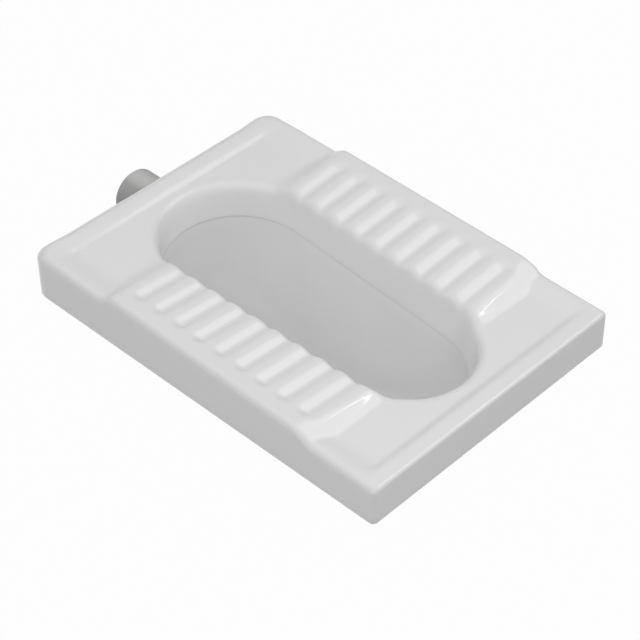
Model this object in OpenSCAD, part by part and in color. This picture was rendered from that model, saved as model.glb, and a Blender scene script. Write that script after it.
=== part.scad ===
// Squat pan: a ribbed deck on a skirt, a well, a flushed rim, a bowl, a flush horn and an outlet.
// Millimetres. The origin is the middle of the skirt's bottom plane, +Y is the rear, +Z is up.

/* [Deck] */
// Length of the deck, front to rear
deck_length = 600; // [560:5:680]
// Width of the deck
deck_width = 425; // [400:1:480]
// Height of the rim above the bedding plane, halfway along the long edges
rim_height = 62; // [58:1:80]
// How much lower the rim is at the front edge than at the rear edge
deck_fall = 13; // [4:1:20]
// Thickness of the skirt's walls
skirt_wall = 11; // [8:0.5:14]
// Thickness of the deck under the tray
plate_thickness = 15; // [13:0.5:18]
// Radius of the four upright corners
corner_radius = 12; // [6:1:22]
// Rounding of the front top edge
front_edge_radius = 4; // [2:0.5:8]
// Rounding of the long top edges
side_edge_radius = 7; // [3:0.5:10]
// Rounding of the rear top edge
rear_edge_radius = 20; // [8:1:24]

/* [Tray] */
// Depth of the tray below the rim
tray_depth = 7; // [4:0.5:10]
// Distance from the front face to the foot of the front curb
front_curb = 34; // [24:1:42]
// Distance from the rear face to the foot of the rear curb
rear_curb = 42; // [32:1:46]
// Distance from a long face to the foot of its curb
side_curb = 36; // [26:1:42]
// Width of the slope down from the front curb
front_curb_slope = 17; // [8:1:20]
// Width of the slope down from the rear curb
rear_curb_slope = 22; // [10:1:26]
// Width of the slope down from a side curb
side_curb_slope = 18; // [8:1:20]

/* [Well] */
// Radius of the well's rear end at the lip
well_rear_radius = 100; // [92:1:104]
// Radius of the well's front end at the lip
well_front_radius = 91; // [80:1:96]
// Distance of the rear end's centre behind the middle of the deck
well_rear_y = 137; // [120:1:140]
// Distance of the front end's centre before the middle of the deck
well_front_y = 137; // [120:1:142]
// Draft of the well's wall, from the lip to the mouth
wall_draft = 0.5; // [0.5:0.5:3]
// How much further forward the mouth reaches than the lip
front_lean = 18; // [4:1:20]
// Rounding of the mouth, between the tray and the wall
mouth_radius = 9; // [5:0.5:11]
// Height of the lip above the bedding plane, at the middle of the deck
lip_height = -3; // [-8:0.5:3]
// How much lower the lip would be at the front edge than at the rear edge
lip_fall = 26; // [13:1:32]
// Thickness of the rim that hangs from the deck
rim_wall = 9; // [6:0.5:11]

/* [Footrests] */
// Number of grooves across each footrest
groove_count = 9; // [5:1:9]
// Distance from one rib to the next
rib_pitch = 35.7; // [30:0.1:37]
// Depth of the grooves between the ribs
groove_depth = 4; // [2:0.5:6]
// Half the width over which the bottom of a groove is rounded
groove_rounding = 3; // [1:0.5:5]
// Width of the flat land along the top of a rib
rib_land = 3; // [2:0.5:8]
// Distance of the middle groove before the middle of the deck
groove_offset = 18.5; // [10:0.5:26]
// Distance from a long face to the outer end of the grooves
groove_margin = 20; // [14:1:34]
// Height of a footrest above the rim, at its outer edge
footrest_rise = 12.5; // [8:0.5:18]
// Height of a footrest above the rim, at the well
footrest_inner_rise = 4; // [0:0.5:6]
// Distance of a footrest's rear foot behind the middle of the deck
footrest_rear = 175; // [160:1:190]
// Distance of a footrest's front foot before the middle of the deck
footrest_front = 205; // [195:1:215]
// Angle of a footrest's rear slope
rear_slope_angle = 40; // [30:1:60]
// Angle of a footrest's front slope
front_slope_angle = 50; // [35:1:65]

/* [Flush way] */
// Clear width of the flush channel round the rim
channel_width = 24; // [18:1:26]
// Thickness of the channel's wall and floor
channel_wall = 8; // [6:0.5:9]
// Height of the slot between the lip and the weir
slot_height = 5; // [4:0.5:8]
// How far the weir and the bowl stay back from the lip
floor_setback = 3; // [2:0.5:6]
// Thickness of the weir that the flush water runs over into the bowl
weir_wall = 6; // [5:0.5:8]
// Height of the weir above the channel's floor
weir_height = 11; // [10:0.5:16]
// Outer diameter of the flush horn
horn_diameter = 69; // [62:0.5:72]
// Bore of the flush horn
horn_bore = 50; // [40:0.5:52]
// Height of the horn's axis above the bedding plane
horn_height = 20; // [19:0.5:21]
// How far the horn stands out behind the deck
horn_reach = 40; // [20:1:60]
// How far the horn's root in the skirt stands out round the horn
horn_root = 2; // [1:0.5:4]

/* [Bowl] */
// Thickness of the bowl's wall
bowl_wall = 9; // [7:0.5:12]
// Depth of the bowl, from the weir to the outlet
bowl_depth = 160; // [110:1:180]
// Distance of the outlet behind the middle of the deck
outlet_y = 50; // [20:1:80]
// Outer diameter of the outlet spigot
spigot_diameter = 100; // [90:1:110]
// Wall of the outlet spigot
spigot_wall = 9; // [7:0.5:12]
// Length of the outlet spigot
spigot_length = 65; // [50:1:90]
// Depth of the straight neck at the bottom of the bowl
neck_depth = 12; // [8:1:20]
// Height of the collar round the top of the spigot
collar_height = 9; // [6:1:14]
// How far the collar stands out round the spigot
collar_width = 6; // [3:0.5:10]

/* [Hidden] */

glaze = "whitesmoke";
half_length = deck_length / 2;
half_width = deck_width / 2;
fall_rate = deck_fall / deck_length;
fall_angle = atan(fall_rate);
lip_fall_rate = lip_fall / deck_length;
// Heights at the middle of the deck; both planes fall forward at fall_rate
tray_height = rim_height - tray_depth;
underside_height = tray_height - plate_thickness;
// A footrest is let into the deck down to the foot of the mouth's rounding
seat_depth = tray_depth + mouth_radius;
// Room for the glaze and slip between the skirt and the horn
horn_clearance = 0.3;
// Heights of the flush channel at the middle of the deck; they fall forward at lip_fall_rate
weir_top = lip_height - slot_height;
floor_top = weir_top - weir_height;
floor_bottom = floor_top - channel_wall;
// Outlines are measured outward from the lip
rim_outside = rim_wall + wall_draft;
channel_inside = rim_outside + channel_width;
channel_outside = channel_inside + channel_wall;
outlet_radius = spigot_diameter / 2 - spigot_wall;
outlet_top = weir_top - bowl_depth;
// The horn's root starts on the flush channel's round rear
root_radius = horn_diameter / 2 + horn_root;
horn_start_radius = well_rear_radius + channel_outside;
// Footrest top: a plane that falls from the outer edge to the well
footrest_well_x = well_rear_radius;
footrest_slope = (footrest_rise - footrest_inner_rise) / (half_width - footrest_well_x);
footrest_angle = atan(footrest_slope);
groove_width = rib_pitch - rib_land;
// Steps of the outline's two arcs, of small roundings, and of the bowl's curve
arc_steps = 24;
rounding_steps = 5;
bowl_steps = 10;
groove_steps = 14;
// Overlap of a cut beyond the body that it cuts
over = 1;

// Height of the footrest's top above the rim at a distance x from the middle
function footrest_top(x) = footrest_rise - footrest_slope * (half_width - x);

// Directions in which the well's outline is measured, anticlockwise from the right
function front_centre(lean) = -well_front_y - lean * front_lean;
function side_angle(lean) =
    asin((well_rear_radius - well_front_radius) / (well_rear_y - front_centre(lean)));
function rear_angles(lean) = let(s = side_angle(lean))
    [for (i = [0 : arc_steps]) -s + i * (180 + 2 * s) / arc_steps];
function front_angles(lean) = let(s = side_angle(lean))
    [for (i = [0 : arc_steps]) 180 + s + i * (180 - 2 * s) / arc_steps];

// The well's outline: two arcs joined by their tangents, grown outward from the lip
function outline(grow, lean) = concat(
    [for (a = rear_angles(lean))
        [0, well_rear_y] + (well_rear_radius + grow) * [cos(a), sin(a)]],
    [for (a = front_angles(lean))
        [0, front_centre(lean)] + (well_front_radius + grow) * [cos(a), sin(a)]]);

// The outline as a ring that falls forward, with its height given at the middle of the deck
function ring(grow, height, lean = 0, fall = fall_rate) =
    [for (p = outline(grow, lean)) [p.x, p.y, height + fall * p.y]];

// The same for the lip and all that follows it below
function lip_ring(grow, height) = ring(grow, height, 0, lip_fall_rate);

// The outline drawn together towards the outlet: blend is 0 at the top and 1 at the outlet
function bowl_ring(blend, grow, height) = let(
    top = outline(floor_setback + grow, 0),
    directions = concat(rear_angles(0), front_angles(0)))
    [for (i = [0 : len(top) - 1])
        let(foot = [0, outlet_y]
                + (outlet_radius + grow) * [cos(directions[i]), sin(directions[i])],
            p = (1 - blend) * top[i] + blend * foot)
        [p.x, p.y, height + (1 - blend) * lip_fall_rate * p.y]];

// A quarter curve of the bowl from its top to its outlet
function bowl_curve(grow, top, depth) =
    [for (i = [0 : bowl_steps]) let(a = 90 * i / bowl_steps)
        bowl_ring(1 - cos(a), grow, top - depth * sin(a))];

function reversed(list) = [for (i = [len(list) - 1 : -1 : 0]) list[i]];

// A closed skin over rings that have the same number of points, from the lowest ring up.
// With loop set, the last ring joins the first one and the solid is a ring itself.
module skin(rings, loop = false) {
    count = len(rings[0]);
    bands = loop ? len(rings) : len(rings) - 1;
    points = [for (r = rings) each r];
    sides = [for (i = [0 : bands - 1], j = [0 : count - 1])
        let(low = i * count,
            high = ((i + 1) % len(rings)) * count,
            next = (j + 1) % count)
        each [[low + j, high + j, high + next], [low + j, high + next, low + next]]];
    caps = loop ? [] : [
        [for (j = [0 : count - 1]) j],
        [for (j = [count - 1 : -1 : 0]) (len(rings) - 1) * count + j]];
    polyhedron(points, concat(sides, caps), convexity = 8);
}

// Places its children on the rim's plane, which falls forward
module on_rim_plane() {
    translate([0, 0, rim_height])
        rotate([fall_angle, 0, 0])
            children();
}

// Lays a profile drawn in width and height along the deck
module along_deck(length) {
    rotate([90, 0, 0])
        linear_extrude(height = length, center = true)
            children();
}

// Lays a profile drawn in length and height across the deck
module across_deck(width) {
    rotate([90, 0, 90])
        linear_extrude(height = width, center = true)
            children();
}

// The deck's outline, drawn inwards by a wall's thickness
module plan(inset) {
    radius = max(corner_radius - inset, 1);
    w = half_width - inset;
    l = half_length - inset;
    square([2 * (w - radius), 2 * l], center = true);
    square([2 * w, 2 * (l - radius)], center = true);
    for (x = [-1, 1], y = [-1, 1])
        translate([x * (w - radius), y * (l - radius)])
            circle(r = radius, $fn = 48);
}

// What the four round upright corners leave of their squares
module corner_waste() {
    for (x = [0, 1], y = [0, 1])
        mirror([x, 0])
            mirror([0, y])
                translate([half_width - corner_radius, half_length - corner_radius])
                    difference() {
                        square(2 * corner_radius);
                        circle(r = corner_radius, $fn = 48);
                    }
}

// Length and height: the top falls forward between a small front rounding and a large rear one
module side_profile() {
    front_centre_y = -half_length + front_edge_radius;
    rear_centre_y = half_length - rear_edge_radius;
    front_z = rim_height + fall_rate * front_centre_y - front_edge_radius / cos(fall_angle);
    rear_z = rim_height + fall_rate * rear_centre_y - rear_edge_radius / cos(fall_angle);
    up = [-sin(fall_angle), cos(fall_angle)];
    polygon([
        [-half_length, 0],
        [half_length, 0],
        [half_length, rear_z],
        [rear_centre_y, rear_z],
        [rear_centre_y, rear_z] + rear_edge_radius * up,
        [front_centre_y, front_z] + front_edge_radius * up,
        [front_centre_y, front_z],
        [-half_length, front_z]]);
    translate([front_centre_y, front_z])
        circle(r = front_edge_radius, $fn = 48);
    translate([rear_centre_y, rear_z])
        circle(r = rear_edge_radius, $fn = 96);
}

// Width and height below the rim's plane, with both long edges rounded
module end_profile() {
    drop = rim_height + deck_fall;
    centre_x = half_width - side_edge_radius;
    translate([-half_width, -drop])
        square([deck_width, drop - side_edge_radius]);
    translate([-centre_x, -drop])
        square([2 * centre_x, drop]);
    for (x = [-1, 1])
        translate([x * centre_x, -side_edge_radius])
            circle(r = side_edge_radius, $fn = 64);
}

module deck_block() {
    difference() {
        intersection() {
            across_deck(deck_width)
                side_profile();
            on_rim_plane()
                along_deck(deck_length + 4 * rim_height)
                    end_profile();
        }
        translate([0, 0, -over])
            linear_extrude(height = 2 * rim_height)
                corner_waste();
    }
}

// A thin rectangle with round corners that spans the given edges
module sheet(left, right, front, rear, radius, height) {
    translate([0, 0, height])
        linear_extrude(height = 0.01)
            for (x = [left + radius, right - radius], y = [front + radius, rear - radius])
                translate([x, y])
                    circle(r = radius, $fn = 32);
}

// The tray is sunk between the four curbs, whose inner faces slope
module tray_pocket() {
    foot_x = half_width - side_curb;
    foot_front = -half_length + front_curb;
    foot_rear = half_length - rear_curb;
    rise = tray_depth + over;
    spread = rise / tray_depth;
    foot_radius = 14;
    on_rim_plane()
        hull() {
            sheet(-foot_x, foot_x, foot_front, foot_rear, foot_radius, -tray_depth);
            sheet(-foot_x - side_curb_slope * spread, foot_x + side_curb_slope * spread,
                  foot_front - front_curb_slope * spread, foot_rear + rear_curb_slope * spread,
                  foot_radius, rise - tray_depth);
        }
}

// The empty space of the well: straight wall, then a rounding that opens to the given height
module well_space(mouth_height) {
    rounding = [for (i = [0 : rounding_steps]) let(a = 84 * i / rounding_steps)
        ring(wall_draft + mouth_radius * (1 - cos(a)),
             mouth_height - mouth_radius * (1 - sin(a)), 1)];
    last = wall_draft + mouth_radius * (1 - cos(84));
    skin(concat(
        [ring(wall_draft, underside_height - plate_thickness, 1)],
        rounding,
        [ring(last, rim_height + 2 * footrest_rise, 1)]));
}

// Length and height of a footrest below the rim's plane: upright, then a slope at each end
module footrest_ends() {
    top = 2 * footrest_rise;
    rise = tray_depth + top;
    polygon([
        [-footrest_front, -seat_depth],
        [footrest_rear, -seat_depth],
        [footrest_rear, -tray_depth],
        [footrest_rear - rise / tan(rear_slope_angle), top],
        [-footrest_front + rise / tan(front_slope_angle), top],
        [-footrest_front, -tray_depth]]);
}

// The two recesses that the footrests are let into
module footrest_seats() {
    on_rim_plane()
        difference() {
            across_deck(deck_width + 2 * over)
                footrest_ends();
            translate([-well_front_radius / 2, -deck_length, -deck_width])
                cube([well_front_radius, 2 * deck_length, 2 * deck_width]);
        }
}

// The notch that the horn's root passes through, open below, from the flush channel outward
module horn_notch() {
    radius = root_radius + horn_clearance;
    length = half_length - well_rear_y + over;
    difference() {
        translate([0, well_rear_y, horn_height]) {
            rotate([-90, 0, 0])
                cylinder(r = radius, h = length, $fn = 96);
            translate([-radius, 0, -horn_height - over])
                cube([2 * radius, length, horn_height + over]);
        }
        translate([0, well_rear_y, -2 * over])
            cylinder(r = horn_start_radius - horn_clearance, h = 2 * rim_height, $fn = 192);
    }
}

// All that lies above the plane of the plate's underside
module above_underside() {
    on_rim_plane()
        translate([-deck_width, -deck_length, -tray_depth - plate_thickness])
            cube([2 * deck_width, 2 * deck_length, 4 * rim_height]);
}

// The plate with its sunken tray and the four curbs
module deck() {
    color(glaze)
        difference() {
            intersection() {
                deck_block();
                above_underside();
            }
            tray_pocket();
            well_space(tray_height);
            footrest_seats();
            horn_notch();
        }
}

// The four walls that carry the plate and stand in the bedding
module skirt() {
    color(glaze)
        difference() {
            deck_block();
            above_underside();
            translate([0, 0, -over])
                linear_extrude(height = 2 * rim_height)
                    plan(skirt_wall);
            horn_notch();
        }
}

// Width and height of a footrest above the rim's plane, with its outer edge rounded
module footrest_profile() {
    inner = well_front_radius / 2;
    centre_x = half_width - side_edge_radius;
    centre_z = footrest_top(centre_x) - side_edge_radius / cos(footrest_angle);
    polygon([
        [inner, -seat_depth],
        [half_width, -seat_depth],
        [half_width, centre_z],
        [centre_x, centre_z],
        [centre_x, centre_z] + side_edge_radius * [-sin(footrest_angle), cos(footrest_angle)],
        [inner, footrest_top(inner)]]);
    translate([centre_x, centre_z])
        circle(r = side_edge_radius, $fn = 64);
}

// Height of a groove at a distance from its middle: the ribs beside it are rounded arcs, and
// only the narrow bottom between them is hollow
function groove_height(u) = let(
    far = norm([groove_width / 2, groove_rounding]),
    share = (far - norm([u, groove_rounding])) / (far - groove_rounding))
    -groove_depth * share * share;
function groove_profile() = [for (i = [0 : groove_steps])
    let(u = groove_width * (i / groove_steps - 1 / 2))
    [u, groove_height(u)]];

// One groove with a round run-out at its outer end, cut down from height 0
module groove(length) {
    lid = [[groove_width / 2, over], [-groove_width / 2, over]];
    half = [for (p = groove_profile()) if (p.x >= -0.001) [max(p.x, 0), p.y]];
    translate([-length, 0, 0])
        rotate([90, 0, 90])
            linear_extrude(height = length)
                polygon(concat(groove_profile(), lid));
    rotate([0, 0, -90])
        rotate_extrude(angle = 180, $fn = 48)
            polygon(concat(half, [[groove_width / 2, over], [0, over]]));
}

module grooves() {
    end_x = half_width - groove_margin - groove_width / 2;
    middle = (groove_count - 1) / 2;
    for (i = [0 : groove_count - 1])
        translate([end_x, (i - middle) * rib_pitch - groove_offset, footrest_top(end_x)])
            rotate([0, -footrest_angle, 0])
                groove(end_x);
}

// The right-hand footrest; the left-hand one is its mirror image
module footrest() {
    difference() {
        on_rim_plane()
            difference() {
                intersection() {
                    along_deck(2 * deck_length)
                        footrest_profile();
                    across_deck(2 * deck_width)
                        footrest_ends();
                }
                grooves();
            }
        well_space(rim_height + footrest_inner_rise);
    }
}

module footrest_left() {
    color(glaze)
        mirror([1, 0, 0])
            footrest();
}

module footrest_right() {
    color(glaze)
        footrest();
}

// The wall that hangs from the deck round the well and ends in the round lip
module rim() {
    half = rim_wall / 2;
    lip = [for (i = [1 : rounding_steps - 1]) let(a = 180 - 180 * i / rounding_steps)
        lip_ring(half + half * cos(a), lip_height + half * (1 - sin(a)))];
    color(glaze)
        skin(concat(
            [lip_ring(0, lip_height + half)],
            lip,
            [lip_ring(rim_wall, lip_height + half),
             ring(wall_draft + rim_wall, underside_height, 1),
             ring(wall_draft, underside_height, 1)]), loop = true);
}

// The gutter behind the rim, with the weir under the lip
module channel_floor() {
    weir_back = floor_setback + weir_wall;
    color(glaze)
        skin([
            lip_ring(floor_setback, weir_top),
            lip_ring(floor_setback, floor_bottom),
            lip_ring(channel_outside, floor_bottom),
            lip_ring(channel_outside, floor_top),
            lip_ring(weir_back, floor_top),
            lip_ring(weir_back, weir_top)], loop = true);
}

// The gutter's outer wall, up to the deck, with the hole for the horn's bore
module channel_wall() {
    color(glaze)
        difference() {
            skin([
                lip_ring(channel_inside, floor_top),
                lip_ring(channel_outside, floor_top),
                ring(channel_outside, underside_height),
                ring(channel_inside, underside_height)], loop = true);
            translate([0, well_rear_y, horn_height])
                rotate([-90, 0, 0])
                    cylinder(d = horn_bore, h = half_length, $fn = 96);
        }
}

module bowl() {
    neck_top = outlet_top + neck_depth;
    inner = bowl_curve(0, floor_bottom, floor_bottom - neck_top);
    outer = bowl_curve(bowl_wall, floor_bottom, floor_bottom - neck_top + bowl_wall / 2);
    color(glaze)
        skin(concat(
            [bowl_ring(1, bowl_wall, outlet_top)],
            reversed(outer),
            inner,
            [bowl_ring(1, 0, outlet_top)]), loop = true);
}

// The inlet: its root passes through the skirt and sits on the flush channel's round rear
module flush_horn() {
    color(glaze)
        difference() {
            translate([0, well_rear_y, horn_height])
                rotate([-90, 0, 0])
                    difference() {
                        union() {
                            cylinder(r = root_radius, h = half_length - well_rear_y, $fn = 96);
                            cylinder(d = horn_diameter,
                                     h = half_length + horn_reach - well_rear_y, $fn = 96);
                        }
                        translate([0, 0, -over])
                            cylinder(d = horn_bore, h = half_length + horn_reach, $fn = 96);
                    }
            translate([0, well_rear_y, floor_bottom - horn_diameter])
                cylinder(r = horn_start_radius, h = 4 * horn_diameter, $fn = 192);
        }
}

module outlet_spigot() {
    radius = spigot_diameter / 2;
    color(glaze)
        translate([0, outlet_y, outlet_top])
            difference() {
                union() {
                    translate([0, 0, -spigot_length])
                        cylinder(r = radius, h = spigot_length, $fn = 128);
                    translate([0, 0, -collar_height])
                        cylinder(r = radius + collar_width, h = collar_height, $fn = 128);
                }
                translate([0, 0, -spigot_length - over])
                    cylinder(r = outlet_radius, h = spigot_length + 2 * over, $fn = 128);
            }
}

deck();
skirt();
footrest_left();
footrest_right();
rim();
channel_floor();
channel_wall();
bowl();
flush_horn();
outlet_spigot();
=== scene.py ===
"""Squat toilet: the glazed looks of the part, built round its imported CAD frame."""
import math

import bmesh
import bpy
from bpy.props import FloatProperty, FloatVectorProperty, IntProperty, PointerProperty
from mathutils import Matrix, Vector


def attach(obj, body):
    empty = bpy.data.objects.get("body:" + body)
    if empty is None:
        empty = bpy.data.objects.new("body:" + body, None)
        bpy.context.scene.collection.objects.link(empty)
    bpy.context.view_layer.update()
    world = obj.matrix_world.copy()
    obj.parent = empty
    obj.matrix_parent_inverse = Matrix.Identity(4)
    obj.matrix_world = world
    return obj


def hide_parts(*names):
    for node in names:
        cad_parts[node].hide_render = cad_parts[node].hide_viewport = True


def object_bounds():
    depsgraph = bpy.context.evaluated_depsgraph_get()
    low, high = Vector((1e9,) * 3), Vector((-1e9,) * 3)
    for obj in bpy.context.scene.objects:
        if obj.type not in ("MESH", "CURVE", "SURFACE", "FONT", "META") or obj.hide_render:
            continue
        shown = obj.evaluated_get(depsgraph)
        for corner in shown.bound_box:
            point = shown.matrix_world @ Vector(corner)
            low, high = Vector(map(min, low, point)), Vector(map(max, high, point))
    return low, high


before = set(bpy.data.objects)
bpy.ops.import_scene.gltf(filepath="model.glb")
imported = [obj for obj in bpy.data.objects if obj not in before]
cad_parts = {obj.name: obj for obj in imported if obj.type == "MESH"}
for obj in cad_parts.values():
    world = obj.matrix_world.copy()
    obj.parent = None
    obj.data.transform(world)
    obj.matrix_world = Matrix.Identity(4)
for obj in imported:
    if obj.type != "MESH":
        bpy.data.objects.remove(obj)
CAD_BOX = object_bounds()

bl_info = {
    "name": "Squat toilet",
    "version": (1, 0, 0),
    "blender": (4, 5, 0),
    "location": "3D View > Sidebar > Squat toilet",
    "description": "Glazed deck, bowl, flush horn and outlet of a squat toilet",
    "category": "Object",
}

MM = 0.001
CUT_PAST = 5.0  # A cutter runs this far past what it cuts


# Sizes and colours ---------------------------------------------------------------------------

def length(name, description, default):
    """A size in metres, given here in millimetres."""
    return FloatProperty(name=name, description=description, default=default * MM,
                         min=0.0, unit="LENGTH", subtype="DISTANCE")


def colour(name, description, default):
    """A linear colour."""
    return FloatVectorProperty(name=name, description=description, default=default,
                               size=3, min=0.0, max=1.0, subtype="COLOR")


class DeckSizes(bpy.types.PropertyGroup):
    """Sizes of the deck and the well; the small roundings are the photograph's."""
    deck_length: length("Deck length", "Front to rear", 600)
    deck_width: length("Deck width", "Side to side", 425)
    rim_height: length("Rim height", "Top of the curbs at mid-length", 62)
    deck_fall: length("Deck fall", "Drop of the curbs from rear to front", 13)
    skirt_wall: length("Skirt wall", "Thickness of the skirt", 11)
    plate_thickness: length("Plate thickness", "Deck under the tray", 15)
    front_corner: length("Front corners", "Upright corners at the front", 7)
    rear_corner: length("Rear corners", "Upright corners at the rear", 24)
    front_edge: length("Front edge", "Rounding of the front top edge", 5)
    side_edge: length("Side edge", "Rounding of the long top edges", 8)
    rear_edge: length("Rear edge", "Rounding of the rear top edge", 20)
    tray_depth: length("Tray depth", "Tray below the curbs", 7)
    front_curb: length("Front curb", "Front face to the crease", 36)
    rear_curb: length("Rear curb", "Rear face to the crease", 42)
    side_curb: length("Side curb", "Long face to the middle of the slope", 26)
    front_slope: length("Front slope", "Width of the front curb's inner slope", 18)
    rear_slope: length("Rear slope", "Width of the rear curb's inner slope", 14)
    side_slope: length("Side slope", "Width of a side curb's inner slope", 32)
    rear_radius: length("Well rear radius", "Rear end of the lip", 100)
    front_radius: length("Well front radius", "Front end of the lip", 91)
    rear_centre: length("Well rear centre", "Behind the middle", 137)
    front_centre: length("Well front centre", "Before the middle", 137)
    draft: length("Wall draft", "Lip to mouth", 0.5)
    front_lean: length("Front lean", "Mouth ahead of the lip at the front", 18)
    rear_lean: length("Rear lean", "Mouth behind the lip at the rear", 3)
    mouth_radius: length("Mouth rounding", "Between the tray and the wall", 12)
    rear_drop: length("Rear drop", "Height of the mouth's rounding at the rear", 24)
    front_drop: length("Front drop", "Height of the mouth's rounding at the front", 14)
    lip_depth: length("Lip depth", "Below the bed at mid-length", 3)
    lip_fall: length("Lip fall", "Drop of the lip from rear to front", 26)
    rim_wall: length("Rim wall", "Thickness of the hanging rim", 9)


class FootrestSizes(bpy.types.PropertyGroup):
    """Sizes of the ribbed footrests."""
    rib_pitch: length("Rib pitch", "From one rib to the next", 35.7)
    rib_land: length("Rib land", "Flat along the top of a rib", 3)
    groove_depth: length("Groove depth", "Between the ribs", 5.2)
    groove_rounding: length("Groove rounding", "Half width of a groove's bottom", 2)
    groove_angle: FloatProperty(name="Groove slope", description="Steepness of the grooves' sides",
                                default=math.radians(24.7), subtype="ANGLE", unit="ROTATION")
    groove_offset: length("Groove offset", "Middle groove before the middle", 18.5)
    groove_margin: length("Groove margin", "Long face to the grooves' outer ends", 20)
    groove_count: IntProperty(name="Grooves", description="On each footrest", default=9, min=1)
    rise: length("Footrest rise", "Outer edge above the curbs", 12.5)
    inner_rise: length("Inner rise", "Above the curbs at the well", 4)
    rear: length("Footrest rear", "Rear foot behind the middle", 172)
    front: length("Footrest front", "Front foot before the middle", 202)
    rear_run: length("Rear slope", "Foot to ridge at the rear", 26)
    front_run: length("Front slope", "Foot to ridge at the front", 34)
    knee_run: length("Knee", "Foot to the knee in the front slope", 17)
    knee_share: FloatProperty(name="Knee height", description="Share of the rise below the knee",
                              default=0.72, min=0.0, max=1.0)


class UnderSizes(bpy.types.PropertyGroup):
    """Sizes of what lies under the deck."""
    channel_width: length("Channel width", "Clear width of the flush channel", 24)
    channel_wall: length("Channel wall", "Wall and floor of the channel", 8)
    slot_height: length("Slot height", "Lip to weir", 1.5)
    floor_setback: length("Floor setback", "Weir and bowl back from the lip", 5.5)
    weir_wall: length("Weir wall", "Thickness of the weir under the lip", 6)
    weir_height: length("Weir height", "Weir above the channel's floor", 14.5)
    horn_radius: length("Horn radius", "Outside", 34.5)
    horn_bore: length("Horn bore radius", "Inside", 25)
    horn_height: length("Horn height", "Axis above the bed", 20)
    horn_reach: length("Horn reach", "Behind the deck", 40)
    horn_root: length("Horn root", "Stands out round the horn in the skirt", 2)
    bowl_wall: length("Bowl wall", "Thickness", 9)
    bowl_depth: length("Bowl depth", "Weir to outlet", 163.5)
    outlet_y: length("Outlet place", "Behind the middle", 50)
    spigot_radius: length("Spigot radius", "Outside", 50)
    spigot_wall: length("Spigot wall", "Thickness", 9)
    spigot_length: length("Spigot length", "Below the bowl", 65)
    neck: length("Neck", "Straight end of the bowl", 12)
    collar_height: length("Collar height", "Round the top of the spigot", 9)
    collar_width: length("Collar width", "Stands out round the spigot", 6)


class Finishes(bpy.types.PropertyGroup):
    """Colours of the glaze, the bare clay, the painted shade on edges and on the horn, and the
    studio.
    """
    glaze: colour("Glaze", "White sanitary glaze", (0.86, 0.86, 0.862))
    # Also painted shade: this darker colour shades the mouth's and the edges' roundings, besides
    # thin glaze
    glaze_thin: colour("Thin glaze and shade", "Where the glaze runs thin over an edge", (0.77, 0.768, 0.762))
    bisque: colour("Bare clay", "Unglazed underside", (0.62, 0.585, 0.53))
    # Painted shade: the horn is grey for the deck's shade over it, and lighter on its crown as
    # painted light
    slip: colour("Horn shade", "Dull slip on the flush horn", (0.39, 0.39, 0.385))
    slip_thin: colour("Horn crown light", "On the crown of the flush horn", (0.6, 0.6, 0.592))
    studio: colour("Studio", "Floor as it lights the object", (0.2, 0.2, 0.2))


# Helpers -------------------------------------------------------------------------------------

QUARTER = math.pi / 2


def mm(size):
    """A size of the panel in millimetres."""
    return size / MM


def smooth_step(u):
    """A smooth rise from 0 to 1."""
    u = min(max(u, 0.0), 1.0)
    return u * u * (3.0 - 2.0 * u)


def soft_max(a, b, blend):
    """The larger of two heights, with a fillet where they meet."""
    h = max(blend - abs(a - b), 0.0) / blend
    return max(a, b) + h * h * blend / 4.0


def soft_min(a, b, blend):
    """The smaller of two heights, with a rounding where they meet."""
    return -soft_max(-a, -b, blend)


def shares(count):
    """Even steps from just over 0 up to 1."""
    return [k / count for k in range(1, count + 1)]


def between(p, q, share):
    """The point at a share of the way from one point to another."""
    return tuple(a + (b - a) * share for a, b in zip(p, q))


def sloped(points, height, fall):
    """Points in plan, put at a height that falls to the front."""
    return [(x, y, height + fall * y) for x, y in points]


def linked_object(name, bm):
    """Turns a bmesh into an object of the scene."""
    mesh = bpy.data.meshes.new(name)
    bm.to_mesh(mesh)
    bm.free()
    made = bpy.data.objects.new(name, mesh)
    bpy.context.scene.collection.objects.link(made)
    return made


def new_piece(name, bm, material):
    """Turns a bmesh into a smooth piece that rides on the part."""
    bmesh.ops.recalc_face_normals(bm, faces=bm.faces)
    for face in bm.faces:
        face.smooth = True
    piece = linked_object(name, bm)
    piece.data.materials.append(material)
    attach(piece, "root")
    return piece


def bored(piece, radius, height, near, far):
    """Cuts a round hole along Y through a piece."""
    bm = bmesh.new()
    bmesh.ops.create_cone(bm, cap_ends=True, segments=96, radius1=radius * MM, radius2=radius * MM,
                          depth=(far - near) * MM)
    turn = Matrix.Rotation(QUARTER, 4, "X")
    middle = Matrix.Translation((0, (near + far) / 2 * MM, height * MM))
    bmesh.ops.transform(bm, matrix=middle @ turn, verts=bm.verts)
    cutter = linked_object("bore_cutter", bm)
    cut = piece.modifiers.new("bore", "BOOLEAN")
    cut.operation = "DIFFERENCE"
    cut.solver = "EXACT"
    cut.object = cutter
    view = bpy.context.evaluated_depsgraph_get()
    made = bpy.data.meshes.new_from_object(piece.evaluated_get(view))
    piece.modifiers.clear()
    old = piece.data
    piece.data = made
    bpy.data.meshes.remove(old)
    bpy.data.meshes.remove(cutter.data)


def thin_shade_and_bare_layers(bm):
    """The two marks that the glaze reads: thin glaze with painted shade over roundings, and where
    the clay is bare.
    """
    layers = bm.verts.layers.float
    return layers.new("glaze_thin"), layers.new("bare_clay")


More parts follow.
